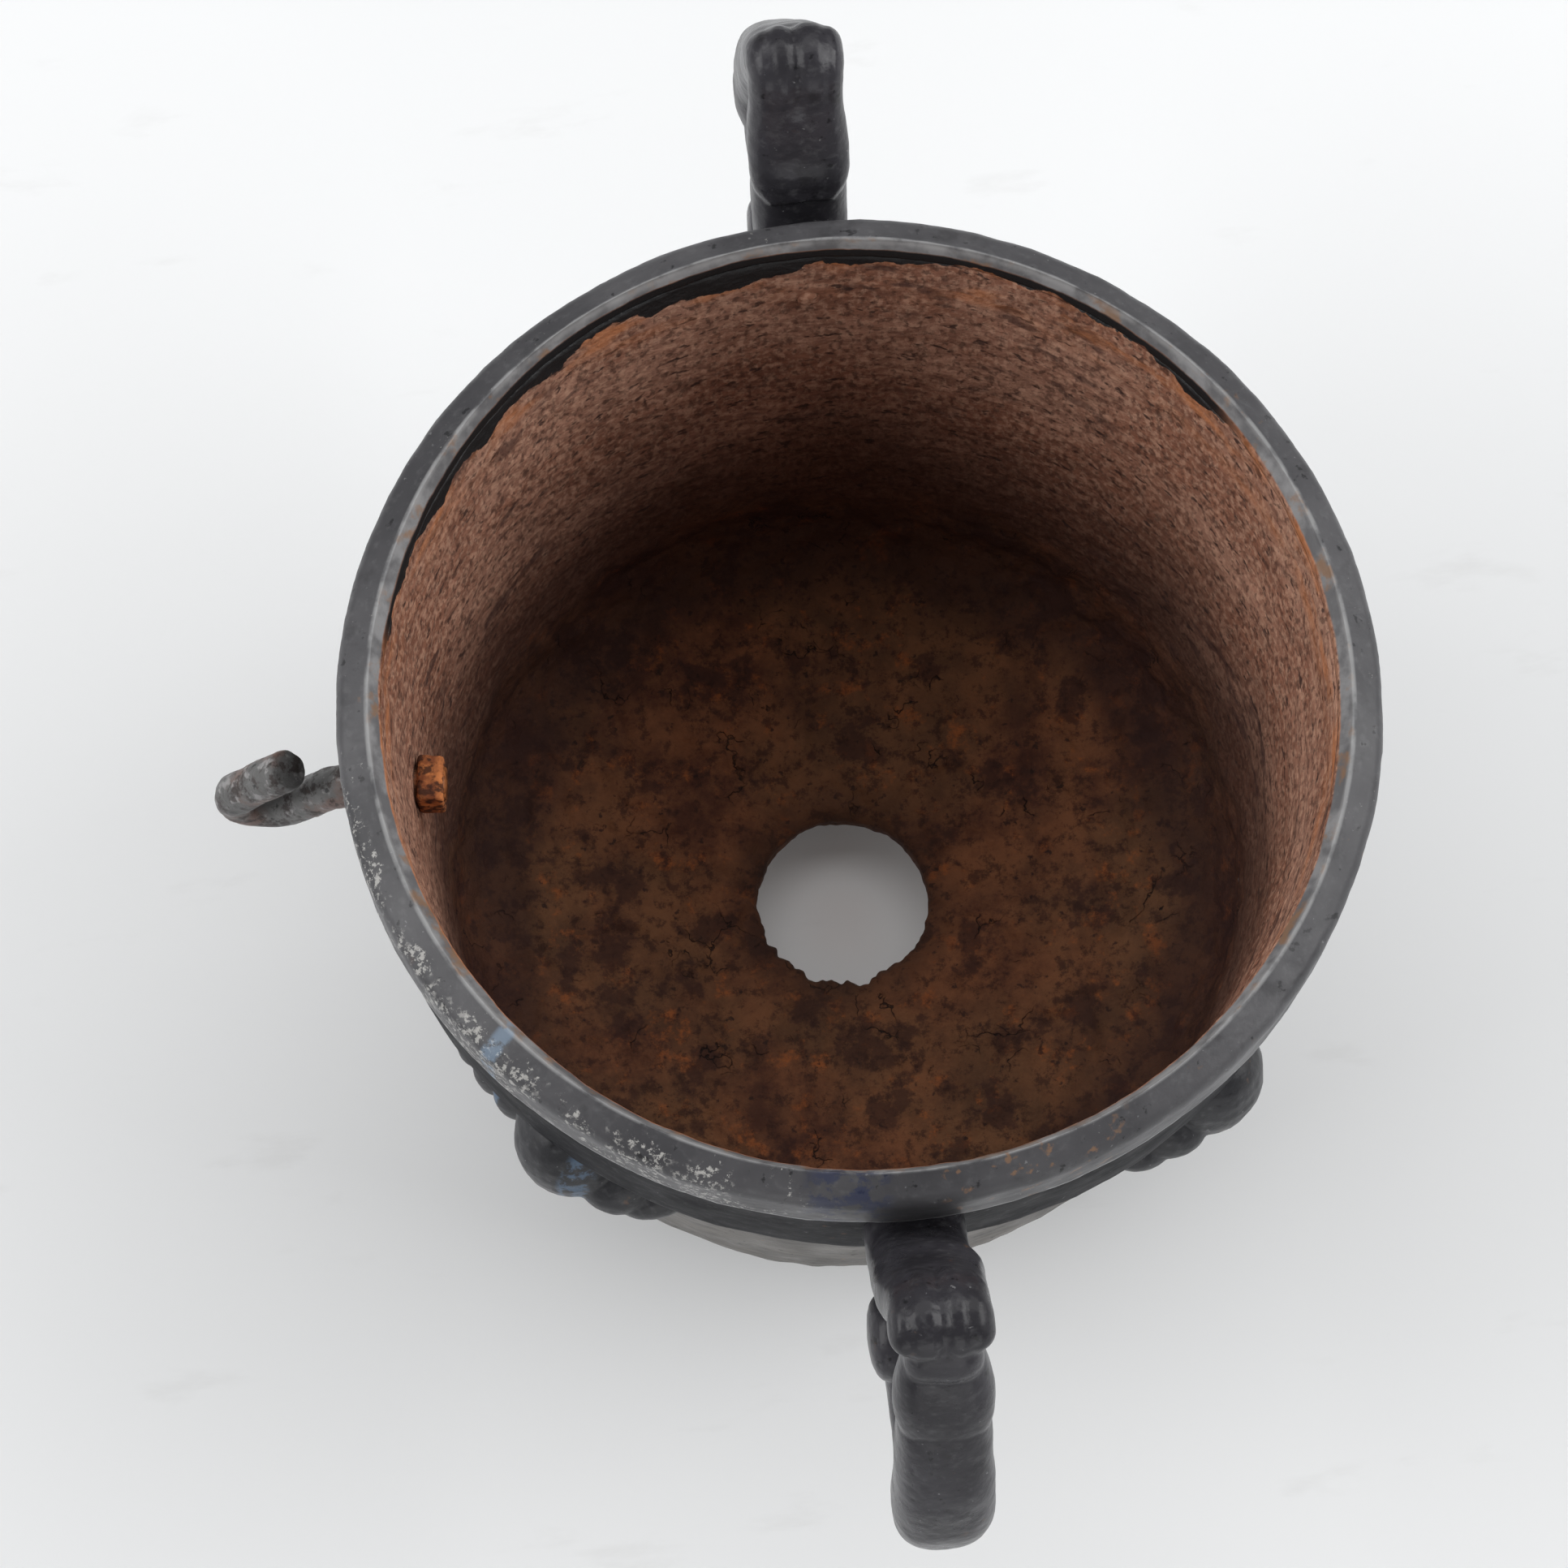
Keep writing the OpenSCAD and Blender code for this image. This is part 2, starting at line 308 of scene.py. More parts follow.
roughen(pot_mesh, [(34 * mm, 1.6 * mm, 3.1), (11 * mm, 1.3 * mm, 7.7), (5 * mm, 0.9 * mm, 1.3)],
        inside_share)


def radial_rod(name, azimuth, z, profile, around=32):
    """A rod that lies along the radius. Its profile is (distance from the axis, rod radius)."""
    out = Vector((math.cos(azimuth), math.sin(azimuth), 0))
    side = Vector((-out.y, out.x, 0))
    up = Vector((0, 0, 1))
    rings = [[out * d + up * z + (side * math.cos(t) + up * math.sin(t)) * r
              for t in np.linspace(0, math.tau, around, endpoint=False)] for d, r in profile]
    return rings_to_mesh(name, rings)


pot = new_object("pot_casting", pot_mesh)
hook_hole_r = 8.3 * mm
drill = [(bore_r_low - 16 * mm, hook_hole_r), (wall_r_top + 18 * mm, hook_hole_r)]
cutter = new_object("hook_hole_cutter", radial_rod("hook_hole_cutter", hook_azimuth, hook_z, drill))
cut = pot.modifiers.new("hook_hole", "BOOLEAN")
cut.operation, cut.solver, cut.object = "DIFFERENCE", "EXACT", cutter


def settle(obj):
    """Applies the modifiers."""
    bpy.context.view_layer.update()
    graph = bpy.context.evaluated_depsgraph_get()
    made = bpy.data.meshes.new_from_object(obj.evaluated_get(graph))
    obj.modifiers.clear()
    obj.data = made


settle(pot)
bpy.data.objects.remove(cutter)


def plus(tree, a, b):
    """The sum of two values."""
    return node(tree, "Math", {0: a, 1: b}, operation="ADD")


def minus(tree, a, b):
    """The first value less the second."""
    return node(tree, "Math", {0: a, 1: b}, operation="SUBTRACT")


def relief(tree, shader, *layers):
    """Fine relief on a surface: each layer is a pattern from 0 to 1 and its height in metres."""
    normal = None
    for pattern, height in layers:
        inputs = {"Height": pattern, "Distance": height, "Strength": 1.0}
        if normal is not None:
            inputs["Normal"] = normal
        normal = node(tree, "Bump", inputs)
    tree.links.new(normal, shader.inputs["Normal"])


def axis_distance(tree):
    """How far a point of the surface is from the pot's axis."""
    flat = node(tree, "VectorMath", {0: place(tree), 1: (1, 1, 0)}, operation="MULTIPLY")
    return node(tree, "VectorMath", {0: flat}, "Value", operation="LENGTH")


def height(tree):
    """How high a point of the surface is."""
    return node(tree, "SeparateXYZ", {0: place(tree)}, 2)


def towards(tree, azimuth):
    """1 straight towards that azimuth on the wall, 0 a quarter turn away from it, -1 behind."""
    a = math.radians(azimuth)
    aim = (math.cos(a) / bore_r_top, math.sin(a) / bore_r_top, 0)
    return node(tree, "VectorMath", {0: place(tree), 1: aim}, "Value", operation="DOT_PRODUCT")


def bearing(tree, azimuth):
    """1 straight towards that azimuth at any distance from the axis: the angle's cosine."""
    along = times(tree, towards(tree, azimuth), bore_r_top)
    return node(tree, "Math", {0: along, 1: axis_distance(tree)}, operation="DIVIDE")


def paint_run(tree):
    """Black paint that has run down inside the lip: deepest at the back left, ragged below."""
    thick = between(tree, towards(tree, 122), 0.72, 0.96)
    thin = between(tree, towards(tree, 100), 0.30, 0.42)
    deep = plus(tree, times(tree, thick, 6.5 * mm), times(tree, thin, 2.5 * mm))
    ragged = minus(tree, mottle(tree, 0.012, 6, (1, 1, 0.6)), 0.45)
    deep = plus(tree, deep, times(tree, times(tree, ragged, 26 * mm), thin))
    edge = minus(tree, wall_top_z + 1.5 * mm, deep)
    above = minus(tree, height(tree), edge)
    return times(tree, between(tree, above, 0, 0.5 * mm), thin)


def rust_of_wall(tree):
    """Dry brown rust of the wall: fine grain, dark pits in clusters, orange under the lip, and darker rust
    with painted shade low down.
    """
    z = height(tree)
    skin = coat(tree, between(tree, mottle(tree, 0.045, 5, (1, 1, 1.6)), 0.35, 0.65),
                (0.290, 0.125, 0.076), (0.420, 0.225, 0.155))
    streaks = between(tree, mottle(tree, 0.006, 5, (1, 1, 2.4), (3, 1, 4)), 0.35, 0.7)
    skin = coat(tree, times(tree, streaks, 0.55), skin, (0.120, 0.050, 0.033))
    grain = between(tree, mottle(tree, 0.0015, 3, (1, 1, 0.7)), 0.42, 0.66)
    skin = coat(tree, times(tree, grain, 0.55), skin, (0.60, 0.36, 0.25))
    grit = between(tree, mottle(tree, 0.0015, 4, (1, 1, 0.7), (4, 1, 9)), 0.50, 0.66)
    skin = coat(tree, times(tree, grit, 0.65), skin, (0.060, 0.025, 0.017))
    # Darker towards the bottom of the wall: partly darker rust, partly painted shade deep in the pot.
    low = between(tree, plus(tree, z, times(tree, mottle(tree, 0.03, 5), 0.10)), 0.235, 0.125)
    skin = coat(tree, times(tree, low, 0.80), skin, (0.045, 0.016, 0.010))
    blots = between(tree, mottle(tree, 0.012, 5, (1, 1, 2.2), (7, 2, 1)), 0.55, 0.66)
    crowd = between(tree, mottle(tree, 0.06, 3, (1, 1, 1.8), (2, 8, 3)), 0.40, 0.62)
    skin = coat(tree, times(tree, blots, times(tree, crowd, 0.75)), skin,
                (0.055, 0.024, 0.020))
    pits = between(tree, mottle(tree, 0.0042, 3, (1, 1, 1.9), (5, 5, 2)), 0.61, 0.69)
    skin = coat(tree, times(tree, pits, 0.85), skin, (0.032, 0.014, 0.012))
    fresh = between(tree, mottle(tree, 0.018, 5, (1, 1, 2.5), (9, 4, 4)), 0.44, 0.66)
    band = between(tree, z, wall_top_z - 34 * mm, wall_top_z - 8 * mm)
    return coat(tree, times(tree, fresh, times(tree, band, 0.72)), skin,
                (0.52, 0.190, 0.070))


def rust_of_floor(tree):
    """Scabbed rust of the floor: brown, with purple-brown scabs, orange bloom and cracks."""
    skin = coat(tree, between(tree, mottle(tree, 0.016, 9, rough=0.7), 0.35, 0.65),
                (0.080, 0.029, 0.017), (0.250, 0.100, 0.044))
    tint = between(tree, mottle(tree, 0.05, 4, shift=(4, 4, 4)), 0.42, 0.62)
    skin = coat(tree, times(tree, tint, 0.45), skin, (0.175, 0.095, 0.045))
    bloom = between(tree, mottle(tree, 0.008, 9, shift=(1, 6, 2), rough=0.72), 0.55, 0.68)
    skin = coat(tree, times(tree, bloom, 0.7), skin, (0.440, 0.130, 0.034))
    scabs = between(tree, mottle(tree, 0.013, 9, shift=(8, 1, 5), rough=0.68), 0.52, 0.60)
    skin = coat(tree, times(tree, scabs, 0.72), skin, (0.046, 0.018, 0.014))
    grit = between(tree, mottle(tree, 0.0036, 9, shift=(3, 8, 1), rough=0.75), 0.50, 0.62)
    skin = coat(tree, times(tree, grit, 0.7), skin, (0.036, 0.014, 0.010))
    specks = between(tree, mottle(tree, 0.0026, 3, shift=(2, 2, 7)), 0.64, 0.72)
    return coat(tree, times(tree, specks, 0.8), skin, (0.024, 0.012, 0.010))


def cracks(tree):
    """Short cracks between scabs: 1 in a crack."""
    bend = node(tree, "TexNoise", {"Vector": place(tree), "Scale": 60.0, "Detail": 4.0}, "Color")
    bent = node(tree, "VectorMath", {0: bend, 1: (0.034,) * 3, 2: place(tree)}, operation="MULTIPLY_ADD")
    edge = node(tree, "TexVoronoi", {"Vector": bent, "Scale": 45.0}, "Distance",
                feature="DISTANCE_TO_EDGE")
    line = between(tree, edge, 0.016, 0.004)
    here = between(tree, mottle(tree, 0.014, 3, shift=(6, 6, 6)), 0.56, 0.64)
    return times(tree, line, here)


rust, tree, shader = new_material("rusted_iron")
z = height(tree)
up_wall = between(tree, plus(tree, z, times(tree, mottle(tree, 0.02, 5), 0.05)), 0.070, 0.105)
skin = coat(tree, up_wall, rust_of_floor(tree), rust_of_wall(tree))
crack = times(tree, cracks(tree), minus(tree, 1.0, up_wall))
skin = coat(tree, times(tree, crack, 0.85), skin, (0.012, 0.007, 0.006))
# Painted shade: the floor darkens in the corner where it meets the wall.
painted_corner_shade = between(tree, plus(tree, axis_distance(tree), times(tree, mottle(tree, 0.02, 6), 0.040)),
                 0.132, 0.152)
painted_corner_shade = times(tree, painted_corner_shade, minus(tree, 1.0, up_wall))
skin = coat(tree, times(tree, painted_corner_shade, 0.7), skin, (0.036, 0.014, 0.012))
# Painted shade: a darker ring on the floor round the air hole, where the floor rolls down into it.
hole_lip_shade = between(tree, plus(tree, axis_distance(tree), times(tree, mottle(tree, 0.01, 5), 0.022)),
                    0.062, 0.044)
skin = coat(tree, times(tree, hole_lip_shade, 0.6), skin, (0.05, 0.024, 0.016))
painted = paint_run(tree)
skin = coat(tree, painted, skin, (0.016, 0.016, 0.017))
tree.links.new(skin, shader.inputs["Base Color"])
tree.links.new(node(tree, "MapRange", {"Value": painted, "To Min": 0.82, "To Max": 0.5}),
               shader.inputs["Roughness"])
shader.inputs["Specular IOR Level"].default_value = 0.35
relief(tree, shader, (mottle(tree, 0.0018, 3), 0.5 * mm), (mottle(tree, 0.007, 8, (1, 1, 1.6)), 2.6 * mm),
       (minus(tree, 1.0, crack), 0.8 * mm))


def old_paint(name, dark, light, worn=(0.24, 0.24, 0.245), stains=0.5, rust_spots=0.5, edges=0.6,
              gloss=(0.34, 0.58), grain=0.22, shine=0.3):
    """Old black paint gone grey on iron: cloudy, stained, specked with rust, worn on its edges."""
    material, tree, shader = new_material(name)
    skin = coat(tree, between(tree, mottle(tree, 0.03, 6), 0.3, 0.7), dark, light)
    haze = between(tree, mottle(tree, 0.0022, 4, (1, 1, 1.5), (3, 3, 3)), 0.50, 0.78)
    skin = coat(tree, times(tree, haze, 0.14), skin, worn)
    dust = between(tree, mottle(tree, 0.0015, 3, shift=(9, 9, 2)), 0.70, 0.74)
    skin = coat(tree, times(tree, dust, 0.5), skin, worn)
    chips = between(tree, mottle(tree, 0.0028, 4, shift=(6, 3, 8)), 0.64, 0.70)
    skin = coat(tree, times(tree, chips, 0.7), skin, (0.006, 0.006, 0.007))
    stain = between(tree, mottle(tree, 0.009, 7, shift=(5, 1, 2)), 0.58, 0.70)
    skin = coat(tree, times(tree, stain, stains), skin, (0.014, 0.013, 0.014))
    edge = between(tree, node(tree, "NewGeometry", {}, "Pointiness"), 0.515, 0.60)
    broken = between(tree, mottle(tree, 0.004, 5, shift=(1, 7, 1)), 0.30, 0.60)
    skin = coat(tree, times(tree, times(tree, edge, broken), edges), skin, worn)
    spots = between(tree, mottle(tree, 0.0045, 5, shift=(8, 2, 6)), 0.66, 0.72)
    where = between(tree, mottle(tree, 0.03, 2, shift=(2, 9, 4)), 0.48, 0.62)
    spots = times(tree, times(tree, spots, where), rust_spots)
    skin = coat(tree, spots, skin, (0.20, 0.105, 0.055))
    rough = node(tree, "MapRange", {"Value": mottle(tree, 0.012, 5, shift=(4, 4, 1)), "From Min": 0.3,
                                    "From Max": 0.7, "To Min": gloss[0], "To Max": gloss[1]})
    tree.links.new(rough, shader.inputs["Roughness"])
    shader.inputs["Specular IOR Level"].default_value = shine
    relief(tree, shader, (mottle(tree, 0.0016, 3), 0.5 * grain * mm),
           (mottle(tree, 0.005, 5), grain * mm))
    return material, tree, shader, skin


wall_paint, tree, shader, skin = old_paint(
    "streaked_wall_paint", (0.085, 0.080, 0.076), (0.165, 0.155, 0.145),
    stains=0.7, rust_spots=0.8, gloss=(0.45, 0.7), grain=0.5)
streak = between(tree, mottle(tree, 0.006, 4, (0.35, 0.35, 3.0), (1, 2, 3)), 0.42, 0.68)
skin = coat(tree, times(tree, streak, 0.4), skin, (0.24, 0.225, 0.205))
tree.links.new(skin, shader.inputs["Base Color"])

pot.data.materials.clear()
pot.data.materials.append(rust)
pot.data.materials.append(wall_paint)
mid_r = (wall_r_low + bore_r_low) / 2
mid_corner_r = mid_r - (corner_r + bottom_r) / 2
for face in pot.data.polygons:
    r, z = math.hypot(face.center.x, face.center.y), face.center.z
    if z > wall_low_z:
        outer = r > mid_r + (z - wall_low_z) / (wall_top_z - wall_low_z) * wall_taper
    elif r > mid_corner_r:
        outer = math.hypot(r - mid_corner_r, z - wall_low_z) > (corner_r + bottom_r) / 2
    else:
        outer = r > air_hole_r + 5 * mm and z < 10.6 * mm + (r - 50 * mm) * 0.12
    face.material_index = 1 if outer else 0
    face.use_smooth = True
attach(pot, "pot")
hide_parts("fire_pot")

# ---- Rim hoop -----------------------------------------------------------------------------
# The rim is an iron ring that caps the wall. Its face slopes out from a sharp crest to a round
# shoulder and drops to a ridge; the paint is scuffed silver on the shoulder and split at a joint.
ridge_z = rim_low.z
crest_z = rim_high.z
crest_r = bore_r_top + 3 * mm
rim_outline = [(bore_r_top, wall_top_z - 0.2 * mm), (bore_r_top, crest_z - 4.7 * mm),
               (bore_r_top + 0.3 * mm, crest_z - 4.2 * mm), (crest_r - 0.4 * mm, crest_z - 0.4 * mm)]
rim_outline += arc(crest_r + 0.1 * mm, crest_z - 0.6 * mm, 0.6 * mm, 140, 70, 3)
rim_outline += arc(rim_r - 6.3 * mm, shoulder_z - 2 * mm, 6 * mm, 72, 2, 8)
rim_outline += [(rim_r, ridge_z + 2.2 * mm), (rim_r - 0.1 * mm, ridge_z + 1.2 * mm),
                (rim_r - 0.7 * mm, ridge_z + 0.4 * mm), (rim_r - 2.0 * mm, ridge_z),
                (rim_r - 9 * mm, ridge_z), (wall_r_top + 0.2 * mm, ridge_z + 8 * mm),
                (wall_r_top + 0.2 * mm, wall_top_z - 0.2 * mm)]


def oval_lip(r, z, a):
    """The rim's inner edge follows the oval mouth; its outside stays round."""
    share = max(0.0, min(1.0, (bore_r_top + 4 * mm - r) / (4 * mm)))
    return r - oval_by * share * math.cos(2 * a), z


rim_mesh = lathe("rim", walk(rim_outline, 1.1 * mm)[::-1], 520, oval_lip)
roughen(rim_mesh, [(45 * mm, 0.5 * mm, 2.2), (9 * mm, 0.28 * mm, 4.4), (3 * mm, 0.16 * mm, 6.1)])
rim = new_object("rim_ring", rim_mesh)
rim_paint, tree, shader, skin = old_paint(
    "rim_paint", (0.046, 0.045, 0.049), (0.085, 0.083, 0.088),
    stains=0.35, rust_spots=0.35, edges=0.9, gloss=(0.36, 0.52))
from_axis = axis_distance(tree)
z = height(tree)
lip = times(tree, between(tree, from_axis, crest_r + 0.4 * mm, crest_r - 0.5 * mm),
            between(tree, z, crest_z - 6 * mm, crest_z - 4 * mm))
pale = coat(tree, between(tree, mottle(tree, 0.008, 6, shift=(1, 1, 6)), 0.4, 0.62),
            (0.125, 0.125, 0.13), (0.25, 0.25, 0.255))
stain = between(tree, mottle(tree, 0.006, 6, shift=(7, 3, 3)), 0.54, 0.66)
pale = coat(tree, times(tree, stain, 0.75), pale, (0.25, 0.14, 0.075))
skin = coat(tree, lip, skin, pale)
silver_where = times(tree, between(tree, towards(tree, 222), 0.72, 1.0),
                     between(tree, from_axis, crest_r + 1.5 * mm, rim_r - 4 * mm))
silver = between(tree, plus(tree, mottle(tree, 0.0013, 7, (1, 1, 1), (3, 9, 1), 0.7),
                            times(tree, silver_where, 0.13)), 0.64, 0.70)
scraped = plus(tree, mottle(tree, 0.009, 5, shift=(6, 1, 1)), times(tree, silver_where, 0.10))
scraped = between(tree, scraped, 0.54, 0.64)
silver = times(tree, silver, scraped)
skin = coat(tree, times(tree, silver, 0.85), skin, (0.42, 0.41, 0.39))
# Painted highlight: a broken pale line along the crest's edge.
crest_highlight = times(tree, between(tree, from_axis, crest_r - 1.5 * mm, crest_r - 0.5 * mm),
                   between(tree, from_axis, crest_r + 1.1 * mm, crest_r + 0.2 * mm))
crest_highlight = times(tree, crest_highlight, between(tree, mottle(tree, 0.007, 6, shift=(8, 8, 2)), 0.34, 0.56))
skin = coat(tree, times(tree, crest_highlight, 0.5), skin, (0.38, 0.38, 0.38))
# Painted highlight: a broken pale line along the ridge.
ridge_highlight = times(tree, between(tree, z, ridge_z + 3.4 * mm, ridge_z + 2.2 * mm),
              between(tree, z, ridge_z + 0.2 * mm, ridge_z + 0.8 * mm))
ridge_highlight = times(tree, ridge_highlight, between(tree, mottle(tree, 0.006, 6, shift=(5, 2, 4)), 0.28, 0.46))
skin = coat(tree, times(tree, ridge_highlight, 0.85), skin, (0.26, 0.26, 0.265))
bloom = between(tree, mottle(tree, 0.0032, 6, shift=(2, 7, 7)), 0.60, 0.68)
rusty = times(tree, bloom, between(tree, bearing(tree, -77), 0.975, 0.992))
skin = coat(tree, times(tree, rusty, 0.75), skin, (0.22, 0.125, 0.072))
blue = between(tree, mottle(tree, 0.0045, 7, shift=(4, 4, 8), rough=0.65), 0.46, 0.56)
dark_blue = times(tree, blue, between(tree, bearing(tree, -97.5), 0.9955, 0.9990))
skin = coat(tree, times(tree, dark_blue, 0.6), skin, (0.018, 0.026, 0.070))
pale_blue = times(tree, blue, between(tree, bearing(tree, -140), 0.99975, 0.99995))
skin = coat(tree, times(tree, pale_blue, 0.5), skin, (0.22, 0.31, 0.42))
inner_face = times(tree, between(tree, from_axis, bore_r_top + 2.6 * mm, bore_r_top + 1.8 * mm),
                   between(tree, z, crest_z - 3.8 * mm, crest_z - 4.6 * mm))
skin = coat(tree, inner_face, skin, rust_of_wall(tree))
skin = coat(tree, times(tree, paint_run(tree), inner_face), skin, (0.016, 0.016, 0.017))
tree.links.new(skin, shader.inputs["Base Color"])
rim.data.materials.append(rim_paint)
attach(rim, "pot")
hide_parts("rim_hoop")

# ---- Belt band ----------------------------------------------------------------------------
# A flat iron band sits round the wall under the rim. It carries both handles, and its smooth
# black paint is thicker and less worn than the rim's.
belt_low, belt_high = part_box("belt_band")
belt_r = belt_high.x
belt_outline = [(wall_r_top - 0.5 * mm, belt_high.z - 0.4 * mm),
                (belt_r - 1.6 * mm, belt_high.z - 0.4 * mm),
                (belt_r - 0.5 * mm, belt_high.z - 1.4 * mm), (belt_r, belt_high.z - 3 * mm),
                (belt_r, belt_low.z + 2.2 * mm), (belt_r - 0.5 * mm, belt_low.z + 0.9 * mm),
                (belt_r - 1.8 * mm, belt_low.z + 0.2 * mm), (wall_r_top - 5 * mm, belt_low.z)]
belt_mesh = lathe("belt", walk(belt_outline, 1.8 * mm)[::-1], 420)
roughen(belt_mesh, [(50 * mm, 0.7 * mm, 5.2), (12 * mm, 0.3 * mm, 1.4), (4 * mm, 0.14 * mm, 3.3)])
belt = new_object("belt", belt_mesh)
belt_paint, tree, shader, skin = old_paint(
    "belt_paint", (0.012, 0.012, 0.014), (0.024, 0.024, 0.027),
    stains=0.4, rust_spots=0.3, edges=0.8, gloss=(0.42, 0.58), grain=0.15, shine=0.03)
low_edge = between(tree, height(tree), belt_low.z + 2.4 * mm, belt_low.z + 1.2 * mm)
worn_edge = times(tree, low_edge, between(tree, mottle(tree, 0.005, 6, shift=(2, 4, 4)), 0.30, 0.48))
skin = coat(tree, times(tree, worn_edge, 0.8), skin, (0.20, 0.20, 0.205))
tree.links.new(skin, shader.inputs["Base Color"])
belt.data.materials.append(belt_paint)
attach(belt, "pot")
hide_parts("belt_band")

# ---- Scroll handles -----------------------------------------------------------------------
# Each handle is one iron casting: a neck that rises from the belt, a leaf over it that curls in
# a fluted crest, two husks down the outside and a curl below. Thick paint has softened every
# edge, so the parts are melted into one skin.
def smooth_run(knots, count):
    """A smooth run through rows of numbers, count rows long."""
    knots = np.asarray(knots, float)
    steps = np.r_[0, np.cumsum(np.hypot(*np.diff(knots[:, :2], axis=0).T))]
    slopes = np.gradient(knots, steps, axis=0)
    at = np.linspace(0, steps[-1], count)
    k = np.clip(np.searchsorted(steps, at, side="right") - 1, 0, len(steps) - 2)
    gap = (steps[k + 1] - steps[k])[:, None]
    t = (at - steps[k])[:, None] / gap
    return ((2 * t**3 - 3 * t**2 + 1) * knots[k] + (t**3 - 2 * t**2 + t) * gap * slopes[k]
            + (3 * t**2 - 2 * t**3) * knots[k + 1] + (t**3 - t**2) * gap * slopes[k + 1])


def cast_part(name, stations, tongue=0, flutes=(), flutes_from=0.0, count=28, around=48):
    """A closed skin through stations of (distance from the axis, height, half width, half depth).
    Its face is on the left of the way it runs. tongue draws the flanks of its end back. A flute
    is (place across the face, half width, depth) and starts at flutes_from, a share of the
    length. The rest are in millimetres."""
    squareness = 2.6
    run = smooth_run(stations, count)
    ahead = np.gradient(run[:, :2], axis=0)
    rings = []
    for k, (rho, z, half_w, half_d) in enumerate(run):
        along = Vector((ahead[k][0], 0, ahead[k][1])).normalized()
        face = Vector((-along.z, 0, along.x))
        late = max(0.0, k / (count - 1) - 0.45) / 0.55
        fluted = min(1.0, max(0.0, k / (count - 1) - flutes_from) / 0.16)
        ring = []
        for t in np.linspace(0, math.tau, around, endpoint=False):
            across = half_w * math.copysign(abs(math.cos(t)) ** (2 / squareness), math.cos(t))
            front = math.copysign(abs(math.sin(t)) ** (2 / squareness), math.sin(t))
            dent = fluted * sum(deep * math.exp(-((across - at) / wide) ** 2)
                                for at, wide, deep in flutes)
            point = Vector((rho, across, z)) + face * (front * half_d - max(0.0, front) * dent)
            ring.append((point - along * tongue * late * (1 - front) / 2) * mm)
        rings.append(ring)
    return rings_to_mesh(name, rings)


def barrel(name, rho, z, r, half_w, around=48, count=17):
    """A rounded drum that lies across the handle, in millimetres."""
    rings = []
    for y in np.sin(np.linspace(-math.pi / 2, math.pi / 2, count)) * 0.999:
        here = r * (1 - abs(y) ** 4) ** 0.25
        rings.append([((rho + here * math.cos(t)) * mm, y * half_w * mm, (z + here * math.sin(t)) * mm)
                      for t in np.linspace(0, math.tau, around, endpoint=False)])
    return rings_to_mesh(name, rings)


def join(name, meshes):
    """Several meshes as one object."""
    together = bpy.data.meshes.new(name)
    points, faces = [], []
    for mesh in meshes:
        start = len(points)
        points += points_of(mesh).tolist()
        faces += [[start + v for v in face.vertices] for face in mesh.polygons]
    together.from_pydata(points, [], faces)
    together.shade_smooth()
    return new_object(name, together)


def melt(name, meshes, cell, soften):
    """Closed skins melted into one, as casting and thick paint do."""
    made = join(name, meshes)
    skin = made.modifiers.new("skin", "REMESH")
    skin.mode, skin.voxel_size = "VOXEL", cell
    soft = made.modifiers.new("soft", "SMOOTH")
    soft.factor, soft.iterations = 0.5, soften
    settle(made)
    made.data.shade_smooth()
    return made


neck = [(163, 211, 15.5, 17), (172, 213, 16.6, 19), (180, 218, 16.6, 17), (187, 230, 16.4, 14),
        (193, 244, 16, 13), (199, 258, 15, 12), (204, 270, 13, 11)]
leaf = [(181.2, 245, 11, 5), (185.4, 247, 15, 8.5), (190, 250.6, 17, 10.5), (195.2, 258, 17.4, 10.8),
        (200, 268, 17, 11), (204.5, 279, 15.8, 11), (208, 286.5, 15.8, 11.5), (212.6, 289, 16.3, 11.5),
        (216.6, 287.4, 15.8, 9), (218.8, 284.6, 11.5, 5.5)]
core = [(196, 258, 12, 8), (203, 270, 13, 10), (209, 277, 14.5, 10), (216, 280, 14.5, 9),
        (219, 280, 12, 6)]
cup = [(211, 288, 10, 7), (215.5, 285.5, 11.4, 8.6), (219.5, 281.5, 12.2, 9), (222.4, 277.5, 12, 8),
       (224.4, 274.4, 10.4, 6)]
husk = [(213, 284, 10, 8), (218, 277, 12.5, 10), (224.5, 268, 14.8, 11.4), (230, 258, 15.3, 11.8),
        (233.2, 250.5, 14.8, 11), (234.5, 247, 13.4, 9)]
tail = [(222, 264, 12, 10), (232, 252, 14.3, 12), (243, 235, 15.2, 12.6), (250, 217, 15.8, 14.4),
        (253, 202, 16.4, 15.6), (252, 188, 16.0, 15.5), (248, 177, 12.6, 12.6), (245, 171, 8, 8.5)]
under = [(252, 196, 13, 12), (246, 182, 13, 12), (234, 174.5, 12.5, 11.4), (221, 172.5, 12.5, 10.6),
         (209, 175, 12.8, 10), (200, 184, 13, 9)]
crest_flutes = [(0, 2.2, 2.0), (-10.5, 1.6, 1.0), (8.5, 1.5, 0.9)]
scroll = [cast_part("neck", neck),
          cast_part("leaf", leaf, flutes=crest_flutes, flutes_from=0.6, count=64),
          cast_part("core", core),
          cast_part("cup", cup, tongue=4),
          cast_part("husk", husk, tongue=9),
          cast_part("tail", tail, tongue=4),
          cast_part("under", under),
          barrel("curl", 199, 187, 15.8, 17.2)]
handle_paint, tree, shader, skin = old_paint(
    "handle_paint", (0.017, 0.016, 0.019), (0.042, 0.040, 0.047),
    stains=0.5, rust_spots=0.55, edges=0.8, gloss=(0.22, 0.38), grain=0.28, shine=0.24)
tree.links.new(skin, shader.inputs["Base Color"])
